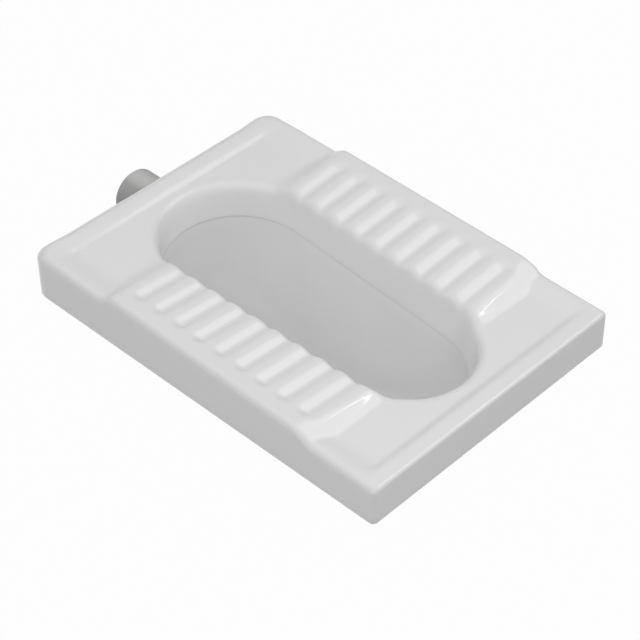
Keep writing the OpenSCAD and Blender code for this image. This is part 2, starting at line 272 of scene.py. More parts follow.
class RingSkin:
    """A closed skin that grows ring by ring, each ring extruded from the last one."""

    def __init__(self, points):
        self.bm = bmesh.new()
        self.thin, self.bare = thin_shade_and_bare_layers(self.bm)
        made = bmesh.ops.create_circle(self.bm, segments=len(points), radius=1.0)
        self.ring = made["verts"]
        self.place(self.ring, points, 0.0, 0.0)
        self.edges = self.first_edges = list(self.bm.edges)

    def place(self, verts, points, thin, bare):
        """Puts a ring's vertices in place and marks them: thin glaze with painted shade, as one
        value or one each, and bare clay.
        """
        for i, (vert, point) in enumerate(zip(verts, points)):
            vert.co = Vector(point) * MM
            vert[self.thin] = thin[i] if isinstance(thin, list) else thin
            vert[self.bare] = bare

    def grow(self, points, thin=0.0, bare=0.0):
        """Extrudes the last ring to new points."""
        order = {vert: i for i, vert in enumerate(self.ring)}
        made = bmesh.ops.extrude_edge_only(self.bm, edges=self.edges)["geom"]
        fresh = {item for item in made if isinstance(item, bmesh.types.BMVert)}
        self.edges = [item for item in made if isinstance(item, bmesh.types.BMEdge)
                      and item.verts[0] in fresh and item.verts[1] in fresh]
        self.ring = [None] * len(order)
        for vert in fresh:
            for edge in vert.link_edges:
                old = edge.other_vert(vert)
                if old in order:
                    self.ring[order[old]] = vert
        self.place(self.ring, points, thin, bare)

    def close(self):
        """Joins the last ring to the first one."""
        bmesh.ops.bridge_loops(self.bm, edges=self.edges + self.first_edges)
        return self.bm


# The well's outline and the deck's mesh directions -------------------------------------------

class Plan:
    """Rings of the deck in plan: from the well's outline out to the deck's edge."""
    SIDE_STEP = 2.0  # Between the directions along the footrests
    ZONE_MARGIN = 9.0  # A footrest's foot to the end of its directions
    ALONG_REAR, ALONG_FRONT = 32, 22  # Directions along the side, past a footrest
    ROUND_CORNER, ACROSS = 10, 62  # Directions round a corner and to the middle of an end
    TURNED_AT, LEANT_AT = 0.45, 0.8  # Shares of an end by which the rays are radial, and leant
    CORNER_RATE, LEAST_CORNER = 0.25, 2.0  # Inner rings have tighter corners, down to a radius

    def __init__(self, s, rest):
        self.half_w = mm(s.deck_width) / 2
        self.half_l = mm(s.deck_length) / 2
        self.fall = s.deck_fall / s.deck_length
        self.lip_fall = s.lip_fall / s.deck_length
        self.rear_r = mm(s.rear_radius)
        self.front_r = mm(s.front_radius)
        self.rear_y = mm(s.rear_centre)
        self.front_y = -mm(s.front_centre)
        self.front_corner = mm(s.front_corner)
        self.rear_corner = mm(s.rear_corner)
        self.front_lean = mm(s.front_lean)
        self.rear_lean = mm(s.rear_lean)
        self.zone_rear = mm(rest.rear) + self.ZONE_MARGIN
        self.zone_front = -mm(rest.front) - self.ZONE_MARGIN
        self.stations = self.make_stations()

    def outline_x(self, y, grow, lean=0.0):
        """Half width of the well at a place along it."""
        front_y = self.front_y - lean * self.front_lean
        sine = (self.rear_r - self.front_r) / (self.rear_y - front_y)
        cosine = math.sqrt(1 - sine * sine)
        if y > self.rear_y + sine * self.rear_r:
            return math.sqrt(max((self.rear_r + grow) ** 2 - (y - self.rear_y) ** 2, 0))
        if y < front_y + sine * self.front_r:
            return math.sqrt(max((self.front_r + grow) ** 2 - (y - front_y) ** 2, 0))
        return (self.front_r + grow) / cosine + (y - front_y) * sine / cosine

    def make_stations(self):
        """One entry for each direction, anticlockwise from the right front of the footrest."""
        count = int((self.zone_rear - self.zone_front) / self.SIDE_STEP)
        side = [self.zone_front + (i + 0.5) * self.SIDE_STEP for i in range(count)]
        rear = self.quarter(True, self.ALONG_REAR)
        front = self.quarter(False, self.ALONG_FRONT)
        return ([("side", 1, y) for y in side]
                + [("rear", 1) + q for q in rear] + [("rear", -1) + q for q in reversed(rear)]
                + [("side", -1, y) for y in reversed(side)]
                + [("front", -1) + q for q in front] + [("front", 1) + q for q in reversed(front)])

    def quarter(self, rear, along):
        """Directions from the end of the footrest zone to the middle of an end of the deck."""
        start = self.start_angle(rear)
        stretches = (along, self.ROUND_CORNER, self.ACROSS)
        out = []
        for stretch, count in enumerate(stretches):
            for i in range(count):
                angle = start + (QUARTER - start) * (len(out) + 0.5) / sum(stretches)
                out.append((angle, stretch, (i + 0.5) / count))
        return out

    def start_angle(self, rear):
        """Angle on the well's end at which the footrest zone stops."""
        if rear:
            return math.asin((self.zone_rear - self.rear_y) / self.rear_r)
        return math.asin((self.front_y - self.zone_front) / self.front_r)

    def inner(self, station, grow, lean=0.0):
        """The point of a direction on the well's outline, grown outwards."""
        if station[0] == "side":
            _, side, y = station
            return side * self.outline_x(y, grow, lean), y
        end, side, angle, _, _ = station
        rear = end == "rear"
        start = self.start_angle(rear)
        done = (angle - start) / (QUARTER - start)
        if rear:
            sign, radius = 1, self.rear_r
            centre = self.rear_y + lean * self.rear_lean * smooth_step(done / self.LEANT_AT)
        else:
            sign, radius = -1, self.front_r
            centre = lean * self.front_lean - self.front_y
        # The rays turn smoothly from straight across to radial
        heading = angle * smooth_step(done / self.TURNED_AT)
        x0, y0 = radius * math.cos(angle), radius * math.sin(angle)
        dx, dy = math.cos(heading), math.sin(heading)
        b = x0 * dx + y0 * dy
        t = -b + math.sqrt(b * b - (radius * radius - (radius + grow) ** 2))
        return side * (x0 + t * dx), sign * (centre + y0 + t * dy)

    def outer(self, station, inset):
        """The point of a direction on the deck's outline, drawn inwards."""
        w = self.half_w - inset
        length_ = self.half_l - inset
        if station[0] == "side":
            _, side, y = station
            return side * w, y
        end, side, _, stretch, f = station
        rear = end == "rear"
        zone = self.zone_rear if rear else -self.zone_front
        corner = self.rear_corner if rear else self.front_corner
        corner = max(corner - self.CORNER_RATE * inset, self.LEAST_CORNER)
        if stretch == 0:
            x, y = w, zone + f * (length_ - corner - zone)
        elif stretch == 1:
            x = w - corner + corner * math.cos(f * QUARTER)
            y = length_ - corner + corner * math.sin(f * QUARTER)
        else:
            x, y = (1 - f) * (w - corner), length_
        return side * x, y if rear else -y


class Surface:
    """Height of the deck's top: curbs, tray, footrests and ribs, in millimetres."""
    GROOVE_EDGE, GROOVE_SKEW, SKEW_REACH = 1.9, 0.3, 6.0  # Grooves' rounding, rounder to the front
    SIDE_WIDER = 12.0  # The side curbs' slope is this much wider at the rear
    REAR_CREASE, REAR_CREST = 0.12, 0.7  # Blends at the foot and top of the rear curb
    REST_REAR, REST_FRONT, REST_KNEE, REST_CREST = 0.24, 0.12, 0.05, 0.02  # Blends on a footrest
    REST_FILLET = 5.0  # Footrest to tray and curbs

    def __init__(self, s, rest):
        self.half_w = mm(s.deck_width) / 2
        self.half_l = mm(s.deck_length) / 2
        self.fall = s.deck_fall / s.deck_length
        self.rim = mm(s.rim_height)
        self.tray = mm(s.tray_depth)
        self.side_middle = self.half_w - mm(s.side_curb)
        self.front_foot = self.half_l - mm(s.front_curb)
        self.rear_foot = self.half_l - mm(s.rear_curb)
        self.side_slope = mm(s.side_slope)
        self.front_slope = mm(s.front_slope)
        self.rear_slope = mm(s.rear_slope)
        self.pitch = mm(rest.rib_pitch)
        self.depth = mm(rest.groove_depth)
        self.rounding = mm(rest.groove_rounding)
        self.offset = -mm(rest.groove_offset)
        self.grooves_half = rest.groove_count * self.pitch / 2
        self.groove_rate = math.tan(rest.groove_angle)
        half = (self.pitch - mm(rest.rib_land)) / 2
        self.groove_end = self.half_w - mm(rest.groove_margin) - half
        self.rise = mm(rest.rise)
        self.slope = (mm(rest.rise) - mm(rest.inner_rise)) / (self.half_w - mm(s.rear_radius))
        self.rest_rear = mm(rest.rear)
        self.rest_front = -mm(rest.front)
        self.rear_run = mm(rest.rear_run)
        self.front_run = mm(rest.front_run)
        self.knee_run = mm(rest.knee_run)
        self.knee_share = rest.knee_share

    def groove(self, x, y):
        """Depth of the grooves: straight sides, narrow bottoms, the ribs rounder to the front."""
        across = y - self.offset
        if abs(across) > self.grooves_half:
            return 0.0
        near = across - self.pitch * round(across / self.pitch)
        away = math.hypot(near, max(abs(x) - self.groove_end, 0.0))
        deep = self.depth - self.groove_rate * (math.hypot(away, self.rounding) - self.rounding)
        skew = min(max(near / self.SKEW_REACH, -1.0), 1.0)
        return soft_max(deep, 0.0, self.GROOVE_EDGE - self.GROOVE_SKEW * skew)

    def curb(self, x, y):
        """0 on the tray, 1 on the curbs."""
        width = self.side_slope + self.SIDE_WIDER * smooth_step(y / self.half_l)
        side = smooth_step((abs(x) - self.side_middle) / width + 0.5)
        if y > 0:
            foot = soft_max((y - self.rear_foot) / self.rear_slope, 0.0, self.REAR_CREASE)
            end = soft_min(foot, 1.0, self.REAR_CREST)
        else:
            end = smooth_step((-y - self.front_foot) / self.front_slope)
        return 1 - (1 - side) * (1 - end)

    def base(self, x, y):
        """Height of the tray and curbs over the curbs' plane."""
        return self.tray * (self.curb(x, y) - 1)

    def footrest(self, x, y):
        """Height of the footrest over the curbs' plane, negative outside of it."""
        full = self.rise - self.slope * (self.half_w - abs(x)) + self.tray
        rear = (self.rest_rear - y) / self.rear_run
        ahead = y - self.rest_front
        low = ahead * self.knee_share / self.knee_run
        rest = (ahead - self.knee_run) / (self.front_run - self.knee_run)
        high = self.knee_share + (1 - self.knee_share) * rest
        front = soft_min(low, high, self.REST_KNEE)
        share = soft_min(soft_min(rear, 1.0, self.REST_REAR), soft_min(front, 1.0, self.REST_FRONT),
                         self.REST_CREST)
        return full * share - self.tray - self.groove(x, y)

    def height(self, x, y):
        """Height of the deck's top above the bed."""
        top = soft_max(self.base(x, y), self.footrest(x, y), self.REST_FILLET)
        return self.rim + self.fall * y + top

    def is_footrest(self, x, y):
        """1 where the footrest is, 0 on the tray and curbs."""
        return smooth_step((self.footrest(x, y) - self.base(x, y)) / self.REST_FILLET)


# Materials -----------------------------------------------------------------------------------

# In metres: heights of the glaze's ripple and the bare clay's grain, and the heights on the horn
# between which its painted shade turns to painted light on the crown
RIPPLE, GRAIN = 0.00022, 0.0004
CROWN_FOOT, CROWN_TOP = 0.048, 0.0555


def node(tree, kind, inputs=None, **settings):
    """Adds a node: its settings, and its inputs as values or as the sockets that feed them."""
    made = tree.nodes.new("ShaderNode" + kind)
    for name, value in settings.items():
        setattr(made, name, value)
    for key, value in (inputs or {}).items():
        if isinstance(value, bpy.types.NodeSocket):
            tree.links.new(value, made.inputs[key])
        else:
            made.inputs[key].default_value = value
    return made


def glaze_group():
    """Node group: uneven glaze, darker over marked roundings as thin glaze and painted shade, with
    faint ripple and specks of dull.
    """
    name = "uneven_glaze"
    if name in bpy.data.node_groups:
        return bpy.data.node_groups[name]
    tree = bpy.data.node_groups.new(name, "ShaderNodeTree")
    for title, kind, default in (("Glaze", "Color", (0.8, 0.8, 0.8, 1)),
                                 ("Thin glaze and shade", "Color", (0.75, 0.74, 0.72, 1)),
                                 ("Bare clay", "Color", (0.6, 0.57, 0.52, 1)),
                                 ("Roughness", "Float", 0.16)):
        tree.interface.new_socket(name=title, in_out="INPUT",
                                  socket_type="NodeSocket" + kind).default_value = default
    for title, kind in (("Colour", "Color"), ("Roughness out", "Float"), ("Ripple", "Float")):
        tree.interface.new_socket(name=title, in_out="OUTPUT", socket_type="NodeSocket" + kind)
    given = tree.nodes.new("NodeGroupInput").outputs
    end = tree.nodes.new("NodeGroupOutput").inputs
    place = node(tree, "TexCoord").outputs["Object"]

    def noise(scale, detail):
        made = node(tree, "TexNoise", {"Vector": place, "Scale": scale, "Detail": detail})
        return made.outputs["Fac"]

    def ranged(source, low, high, out_low, out_high):
        return node(tree, "MapRange", {"Value": source, "From Min": low, "From Max": high,
                                       "To Min": out_low, "To Max": out_high}).outputs["Result"]

    def mixed(factor, a, b):
        return node(tree, "Mix", {0: factor, 6: a, 7: b}, data_type="RGBA").outputs[2]

    def maths(kind, a, b):
        return node(tree, "Math", {0: a, 1: b}, operation=kind).outputs[0]

    def marked(title):
        return node(tree, "Attribute", attribute_name=title).outputs["Fac"]

    cloud = noise(7.0, 3.0)
    fine = noise(130.0, 2.0)
    # Thin glaze and painted shade: marked roundings darken toward the thin-glaze colour, unevenly
    # in clouds
    thin = maths("MULTIPLY", marked("glaze_thin"), ranged(cloud, 0.3, 0.7, 0.6, 1.0))
    drift = ranged(cloud, 0.35, 0.65, 0.0, 0.03)
    glazed = mixed(maths("MAXIMUM", thin, drift), given["Glaze"], given["Thin glaze and shade"])
    ragged = maths("ADD", marked("bare_clay"), ranged(fine, 0.3, 0.7, -0.12, 0.12))
    bare = ranged(ragged, 0.42, 0.58, 0.0, 1.0)
    rough = maths("ADD", given["Roughness"], ranged(cloud, 0.3, 0.7, -0.02, 0.03))
    wavy = maths("MULTIPLY", noise(38.0, 1.0), RIPPLE)
    grain = maths("MULTIPLY", maths("MULTIPLY", fine, bare), GRAIN)
    for socket, title in ((mixed(bare, glazed, given["Bare clay"]), "Colour"),
                          (maths("ADD", rough, maths("MULTIPLY", bare, 0.62)), "Roughness out"),
                          (maths("ADD", wavy, grain), "Ripple")):
        tree.links.new(socket, end[title])
    return tree


def uneven_material(name, finish, glaze, thin, roughness, bump, ior):
    """A material whose colour, dullness and ripple come from the glaze group."""
    material = bpy.data.materials.new(name)
    material.use_nodes = True
    tree = material.node_tree
    shader = tree.nodes["Principled BSDF"].inputs
    uneven = tree.nodes.new("ShaderNodeGroup")
    uneven.node_tree = glaze_group()
    for title, colour_ in (("Glaze", glaze), ("Thin glaze and shade", thin), ("Bare clay", finish.bisque)):
        uneven.inputs[title].default_value = (*colour_, 1)
    uneven.inputs["Roughness"].default_value = roughness
    rippled = node(tree, "Bump", {"Strength": bump, "Distance": 1.0,
                                  "Height": uneven.outputs["Ripple"]})
    tree.links.new(uneven.outputs["Colour"], shader["Base Color"])
    tree.links.new(uneven.outputs["Roughness out"], shader["Roughness"])
    tree.links.new(rippled.outputs["Normal"], shader["Normal"])
    shader["IOR"].default_value = ior
    return material, shader, uneven.inputs["Glaze"]


def glaze_material(finish):
    """White sanitary glaze over clay."""
    name = "sanitary_glaze"
    if name in bpy.data.materials:
        return bpy.data.materials[name]
    material, shader, _ = uneven_material(name, finish, finish.glaze, finish.glaze_thin,
                                          roughness=0.12, bump=0.35, ior=1.5)
    shader["Coat Weight"].default_value = 0.35
    shader["Coat Roughness"].default_value = 0.05
    return material


def horn_shade_material(finish):
    """Dull grey for the flush horn's painted shade, with faint clouds and a fine grain, lighter on
    the crown as painted light.
    """
    material, _, glaze = uneven_material("horn_painted_shade", finish, finish.slip, finish.slip,
                                         roughness=0.48, bump=0.5, ior=1.45)
    tree = material.node_tree
    height = node(tree, "SeparateXYZ", {"Vector": node(tree, "TexCoord").outputs["Object"]})
    # Painted light: lighter toward the crown, darker toward the skirt where the shade falls
    crown = node(tree, "MapRange", {"Value": height.outputs["Z"], "From Min": CROWN_FOOT,
                                    "From Max": CROWN_TOP}, interpolation_type="SMOOTHSTEP")
    slip = node(tree, "Mix", {0: crown.outputs["Result"], 6: (*finish.slip, 1),
                              7: (*finish.slip_thin, 1)}, data_type="RGBA")
    tree.links.new(slip.outputs[2], glaze)
    return material


# Pieces --------------------------------------------------------------------------------------

class DeckRings:
    """The deck's skin: up the well, over the top, down the skirt and back under the plate."""
    LOOK_OUT = 1.08  # The mouth is at a footrest where this share further out is one
    WORN, REST_WORN = 0.2, 0.5  # Thin glaze and painted shade over the mouth's rounding, more at the footrests
    REST_TIGHTER, GROOVE_BITE = 1.0, 0.3  # The footrests' mouth is tighter, more so in a groove
    REST_STEEPER = 1.4  # Height over width of the rounding at the footrests
    CURB_INSET = 38.0  # From the edge to where the curbs' finer rings begin
    FOOT = 2.0  # Rounding of the skirt's foot

    def __init__(self, s, rest):
        self.s = s
        self.plan = Plan(s, rest)
        self.top = Surface(s, rest)
        self.stations = self.plan.stations
        self.lip = mm(s.rim_wall) / 2 - mm(s.lip_depth)
        self.underside = self.top.rim - self.top.tray - mm(s.plate_thickness)
        self.skin = RingSkin(self.well(0.0, self.lip, 0.0))

    def well(self, grow, height, lean):
        """A ring round the well, from the lip's slope and place to the deck's."""
        plan = self.plan
        fall = plan.lip_fall + (plan.fall - plan.lip_fall) * lean
        return sloped([plan.inner(st, grow, lean) for st in self.stations], height, fall)

    def on_top(self, x, y):
        """A point of the deck's top."""
        return x, y, self.top.height(x, y)

    def well_wall(self):
        """The wall of the well and the rounding of its mouth."""
        s, plan, top = self.s, self.plan, self.top
        draft = mm(s.draft)
        mouth, drop, shade_share = [], [], []
        for st in self.stations:
            x, y = plan.inner(st, draft, 1.0)
            raised = top.is_footrest(x * self.LOOK_OUT, y)
            tighter = self.REST_TIGHTER + self.GROOVE_BITE * top.groove(x, y)
            end = mm(s.rear_drop if y > 0 else s.front_drop)
            mouth.append(mm(s.mouth_radius) - tighter * raised)
            drop.append(end + (self.REST_STEEPER * mouth[-1] - end) * raised)
            # Painted shade with thin glaze over the mouth's rounding, strongest at the footrests
            shade_share.append(self.WORN + self.REST_WORN * raised)
        over = [self.on_top(*plan.inner(st, draft + r, 1.0)) for st, r in zip(self.stations, mouth)]
        brink = [(*plan.inner(st, draft, 1.0), p[2]) for st, p in zip(self.stations, over)]
        low = self.well(0.0, self.lip, 0.0)
        high = [between(q, p, d / (q[2] - p[2])) for p, q, d in zip(low, brink, drop)]
        for f in shares(6):
            self.skin.grow([between(p, q, f) for p, q in zip(low, high)])
        for f in shares(9):
            ring = [between(between(p, q, f), between(q, o, f), f)
                    for p, q, o in zip(high, brink, over)]
            self.skin.grow(ring, thin=[w * math.sin(math.pi * f) for w in shade_share])
        self.over_mouth = [p[:2] for p in over]

    def top_face(self):
        """The tray, the footrests and the curbs, up to the rounding of the outer edges."""
        plan = self.plan
        curb = [plan.outer(st, self.CURB_INSET) for st in self.stations]
        for f in shares(22):
            self.skin.grow([self.on_top(*between(p, q, f)) for p, q in zip(self.over_mouth, curb)])
        edge = [self.edge_radius(st) for st in self.stations]
        for f in shares(26):
            inset = [self.CURB_INSET + (r - self.CURB_INSET) * f for r in edge]
            self.skin.grow([self.on_top(*plan.outer(st, d)) for st, d in zip(self.stations, inset)])
        rim = [self.on_top(*plan.outer(st, r))[2] for st, r in zip(self.stations, edge)]
        self.edge = list(zip(self.stations, edge, rim))

    def outer_edge(self):
        """The rounding of the outer edges, with thin glaze and painted shade on all but the front
        edge.
        """
        shade_share = [0.0 if st[0] == "front" and st[3] == 2 else 1.0 for st in self.stations]
        for a in (QUARTER * f for f in shares(9)):
            self.skin.grow([(*self.plan.outer(st, r * (1 - math.sin(a))), z - r * (1 - math.cos(a)))
                            for st, r, z in self.edge], thin=[w * math.sin(2 * a) for w in shade_share])

    def edge_radius(self, station):
        """Radius of the top edge at a direction: large at the rear, small at the front."""
        side = mm(self.s.side_edge)
        if station[0] == "side":
            return side
        end, _, _, stretch, f = station
        target = mm(self.s.rear_edge if end == "rear" else self.s.front_edge)
        # Shares of the change before, round and after the corner
        turn = (0.15 * smooth_step((f - 0.5) * 2), 0.15 + 0.6 * f,
                0.75 + 0.25 * smooth_step(f * 6))[stretch]
        return side + (target - side) * turn

    def skirt(self):
        """The skirt, its foot and its inner face."""
        plan, foot = self.plan, self.FOOT
        inner = mm(self.s.skirt_wall)
        for f in shares(5):
            self.skin.grow([(*plan.outer(st, 0.0), (z - r) * (1 - f) + foot * f)
                            for st, r, z in self.edge])
        # The foot's rounding is darkened halfway toward the thin glaze and painted shade colour,
        # and partly bare clay
        for a in (QUARTER / 2, QUARTER):
            self.skin.grow([(*plan.outer(st, foot * (1 - math.cos(a))), foot * (1 - math.sin(a)))
                            for st in self.stations], thin=0.5, bare=0.6)
        for inset, height in ((inner - foot, 0.0), (inner, foot)):
            self.skin.grow([(*plan.outer(st, inset), height) for st in self.stations], bare=1.0)
        # The fillet under the plate: out from the skirt, down from the plate
        for more, below in ((0.5, 6.0), (2.5, 1.8), (6.5, 0.0)):
            ring = [plan.outer(st, inner + more) for st in self.stations]
            self.skin.grow(sloped(ring, self.underside - below, plan.fall), bare=1.0)

    def plate_and_lip(self):
        """The plate's underside, the back of the rim and the round lip."""
        wall = mm(self.s.rim_wall)
        back = wall + mm(self.s.draft)
        # The fillet round the rim: out from the rim, down from the plate, and how bare
        for more, below, bare in ((5.0, 0.0, 1.0), (1.5, 1.5, 0.9), (0.0, 5.0, 0.6)):
            self.skin.grow(self.well(back + more, self.underside - below, 1.0), bare=bare)
        self.skin.grow(self.well(wall, self.lip, 0.0), bare=0.2)
        half = wall / 2
        # The round lip, darkened underneath with thin glaze and painted shade
        for a in (math.pi * f for f in shares(8)[:-1]):
            self.skin.grow(self.well(half + half * math.cos(a), self.lip - half * math.sin(a), 0.0),
                           thin=0.8 * math.sin(a))


class PAN_OT_deck(bpy.types.Operator):
    """Builds the glazed deck with its footrests and the rim round the well"""
    bl_idname = "pan.deck"
    bl_label = "Deck, footrests and rim"
    GRIP = 2.0  # The skirt closes over the horn by this much

    def execute(self, context):
        s, u = context.scene.pan_deck, context.scene.pan_under
        rings = DeckRings(s, context.scene.pan_footrests)
        rings.well_wall()
        rings.top_face()
        rings.outer_edge()
        rings.skirt()
        rings.plate_and_lip()
        piece = new_piece("glazed_deck", rings.skin.close(),
                          glaze_material(context.scene.pan_finish))
        rear = mm(s.deck_length) / 2
        bored(piece, mm(u.horn_radius) - self.GRIP, mm(u.horn_height),
              rear - mm(s.skirt_wall) - CUT_PAST, rear + CUT_PAST)
        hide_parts("deck", "skirt", "footrest_left", "footrest_right", "rim")
        return {"FINISHED"}


class PAN_OT_bowl(bpy.types.Operator):
    """Builds the bowl with the flush channel round its top"""
    bl_idname = "pan.bowl"
    bl_label = "Bowl and flush channel"
    EDGE, SMALL_EDGE = 3.0, 1.5  # Roundings of the weir and the channel's corners

    def execute(self, context):
        s, u = context.scene.pan_deck, context.scene.pan_under
        plan = Plan(s, context.scene.pan_footrests)
        angles = self.directions(plan, 100, 30)
        setback = mm(u.floor_setback)
        weir_top = -mm(s.lip_depth) - mm(u.slot_height)
        weir_back = setback + mm(u.weir_wall)
        floor_top = weir_top - mm(u.weir_height)
        floor_bottom = floor_top - mm(u.channel_wall)
        outlet_r = mm(u.spigot_radius) - mm(u.spigot_wall)
        outlet_top = weir_top - mm(u.bowl_depth)
        neck_top = outlet_top + mm(u.neck)
        outlet_y = mm(u.outlet_y)
        wall = mm(u.bowl_wall)
        inside = mm(s.rim_wall) + mm(s.draft) + mm(u.channel_width)
        outside = inside + mm(u.channel_wall)
        underside = mm(s.rim_height) - mm(s.tray_depth) - mm(s.plate_thickness)

        def ring(grow, height, blend=0.0, foot_grow=0.0, fall=plan.lip_fall):
            """A ring between the well's outline and the outlet's circle."""
            out = []
            foot = outlet_r + foot_grow
            for centre, radius, angle in angles:
                dx, dy = math.cos(angle), math.sin(angle)
                x, y = between(((radius + grow) * dx, centre + (radius + grow) * dy),
                               (foot * dx, outlet_y + foot * dy), blend)
                out.append((x, y, height + (1 - blend) * fall * y))
            return out

        # Over the weir and down the inside of the bowl to the outlet
        edge, small = self.EDGE, self.SMALL_EDGE
        skin = RingSkin(ring(setback + edge, weir_top))
        # The weir's rounding takes thin glaze and painted shade
        for a in (QUARTER * f for f in shares(4)):
            skin.grow(ring(setback + edge * (1 - math.sin(a)), weir_top - edge * (1 - math.cos(a))),
                      thin=0.6 * math.sin(2 * a))
        skin.grow(ring(setback, floor_bottom))
        down = [QUARTER * f for f in shares(40)]
        depth = floor_bottom - neck_top
        for a in down:
            skin.grow(ring(setback, floor_bottom - depth * math.sin(a), 1 - math.cos(a)))
        for f in shares(3):
            skin.grow(ring(setback, neck_top - (neck_top - outlet_top) * f, 1.0))
        # The outlet's foot and back up the outside
        skin.grow(ring(setback + wall, outlet_top, 1.0, wall), bare=0.5)
        outer_depth = depth + wall / 2
        for a in (*reversed(down), 0.0):
            skin.grow(ring(setback + wall, floor_bottom - outer_depth * math.sin(a),
                           1 - math.cos(a), wall), bare=0.15)
        # Round the channel: out, up to the deck, down inside and back to the weir
        # The channel's lower corner takes thin glaze and painted shade
        for grow, height, thin, bare in ((outside - 4.0, floor_bottom, 0.0, 0.3),
                                         (outside - 1.2, floor_bottom + 1.2, 0.5, 0.3),
                                         (outside, floor_bottom + 4.0, 0.0, 0.4)):
            skin.grow(ring(grow, height), thin, bare)
        skin.grow(ring(outside, underside, fall=plan.fall), bare=1.0)
        skin.grow(ring(inside, underside, fall=plan.fall), bare=0.6)
        for grow, height in ((inside, floor_top + 5.0), (inside - small, floor_top + small),
                             (inside - 5.0, floor_top), (weir_back + edge, floor_top),
                             (weir_back, floor_top + edge), (weir_back, weir_top - small),
                             (weir_back - small, weir_top)):
            skin.grow(ring(grow, height))
        piece = new_piece("glazed_bowl", skin.close(), glaze_material(context.scene.pan_finish))
        rear = plan.rear_y + plan.rear_r
        bored(piece, mm(u.horn_bore), mm(u.horn_height), rear + (weir_back + inside) / 2,
              rear + outside + CUT_PAST)
        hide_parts("channel_floor", "channel_wall", "bowl")
        return {"FINISHED"}

    @staticmethod
    def directions(plan, round_end, along_side):
        """Arc centre, radius and angle of each direction round the well, anticlockwise."""
        rear, front = (plan.rear_y, plan.rear_r), (plan.front_y, plan.front_r)
        lean = math.asin((plan.rear_r - plan.front_r) / (plan.rear_y - plan.front_y))
        out = []
        for near, far, start, turn in ((rear, front, -lean, math.pi + 2 * lean),
                                       (front, rear, math.pi + lean, math.pi - 2 * lean)):
            out += [(*near, start + turn * i / (round_end - 1)) for i in range(round_end)]
            out += [(*between(near, far, f), start + turn) for f in shares(along_side + 1)[:-1]]
        return out


def turned_piece(name, profile, centre, axis, material):
    """Spins a closed profile of (radius, along) pairs round an axis."""
    bm = bmesh.new()
    thin_shade_and_bare_layers(bm)
    verts = [bm.verts.new((radius * MM, 0, along * MM)) for radius, along in profile]
    edges = [bm.edges.new((a, b)) for a, b in zip(verts, verts[1:] + verts[:1])]
    bmesh.ops.spin(bm, geom=verts + edges, cent=(0, 0, 0), axis=(0, 0, 1),
                   angle=2 * math.pi, steps=96, use_merge=True)
    bmesh.ops.remove_doubles(bm, verts=bm.verts, dist=1e-6)
    turn = Vector((0, 0, 1)).rotation_difference(Vector(axis)).to_matrix().to_4x4()
    bmesh.ops.transform(bm, matrix=Matrix.Translation(Vector(centre) * MM) @ turn, verts=bm.verts)
    return new_piece(name, bm, material)


def rounded(corners, steps):
    """A closed profile from its corners, each with the radius that rounds it."""
    out = []
    points = [Vector(corner[:2]) for corner in corners]
    for i, (c, (_, _, r)) in enumerate(zip(points, corners)):
        if r <= 0:
            out.append(tuple(c))
            continue
        before = (points[i - 1] - c).normalized()
        after = (points[(i + 1) % len(points)] - c).normalized()
        angle = before.angle(after)
        reach = r / math.tan(angle / 2)
        middle = c + (before + after).normalized() * (r / math.sin(angle / 2))
        a, b = c + before * reach - middle, c + after * reach - middle
        spread = a.angle(b)
        for f in (0.0, *shares(steps)):
            p = (a * math.sin((1 - f) * spread) + b * math.sin(f * spread)) / math.sin(spread)
            out.append(tuple(middle + p))
    return out


class PAN_OT_horn(bpy.types.Operator):
    """Builds the flush horn at the rear"""
    bl_idname = "pan.horn"
    bl_label = "Flush horn"
    LET_IN = 1.0  # The horn's inner end, past the inside of the channel's wall
    ROOT_OUT, ROOT_IN = 1.5, 0.5  # The root's slope, out of and into the skirt's face

    def execute(self, context):
        s, u = context.scene.pan_deck, context.scene.pan_under
        outer, bore = mm(u.horn_radius), mm(u.horn_bore)
        root = outer + mm(u.horn_root)
        skirt = mm(s.deck_length) / 2
        end = skirt + mm(u.horn_reach)
        channel = (s.rear_centre, s.rear_radius, s.rim_wall, s.draft, u.channel_width)
        start = sum(mm(size) for size in channel) + self.LET_IN
        profile = rounded([(bore, start, 0), (bore, end, 2.5), (outer, end, 3.5),
                           (outer, skirt + self.ROOT_OUT, 3.0), (root, skirt - self.ROOT_IN, 0),
                           (root, start, 0)], 5)
        piece = turned_piece("flush_horn_glazed", profile, (0, 0, mm(u.horn_height)), (0, 1, 0),
                             horn_shade_material(context.scene.pan_finish))
        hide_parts("flush_horn")
        return {"FINISHED"}


class PAN_OT_outlet(bpy.types.Operator):
    """Builds the outlet spigot under the bowl"""
    bl_idname = "pan.outlet"
    bl_label = "Outlet spigot"

    def execute(self, context):
        s, u = context.scene.pan_deck, context.scene.pan_under
        outer = mm(u.spigot_radius)
        bore = outer - mm(u.spigot_wall)
        collar = outer + mm(u.collar_width)
        top = -mm(s.lip_depth) - mm(u.slot_height) - mm(u.bowl_depth)
        low = top - mm(u.collar_height)
        end = top - mm(u.spigot_length)
        profile = rounded([(bore, end, 2.0), (outer, end, 3.0), (outer, low, 2.0),
                           (collar, low, 2.5), (collar, top, 2.5), (bore, top, 0)], 4)
        piece = turned_piece("outlet_spigot_glazed", profile, (0, mm(u.outlet_y), 0), (0, 0, 1),
                             glaze_material(context.scene.pan_finish))
        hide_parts("outlet_spigot")
        return {"FINISHED"}


# The stage -----------------------------------------------------------------------------------

FLOOR_HALF = 6.0
FLOOR_WHITE = 0.985  # Share of white that the eye sees in the floor, the rest keeps the shadow
WORLD_LIGHT = 0.3
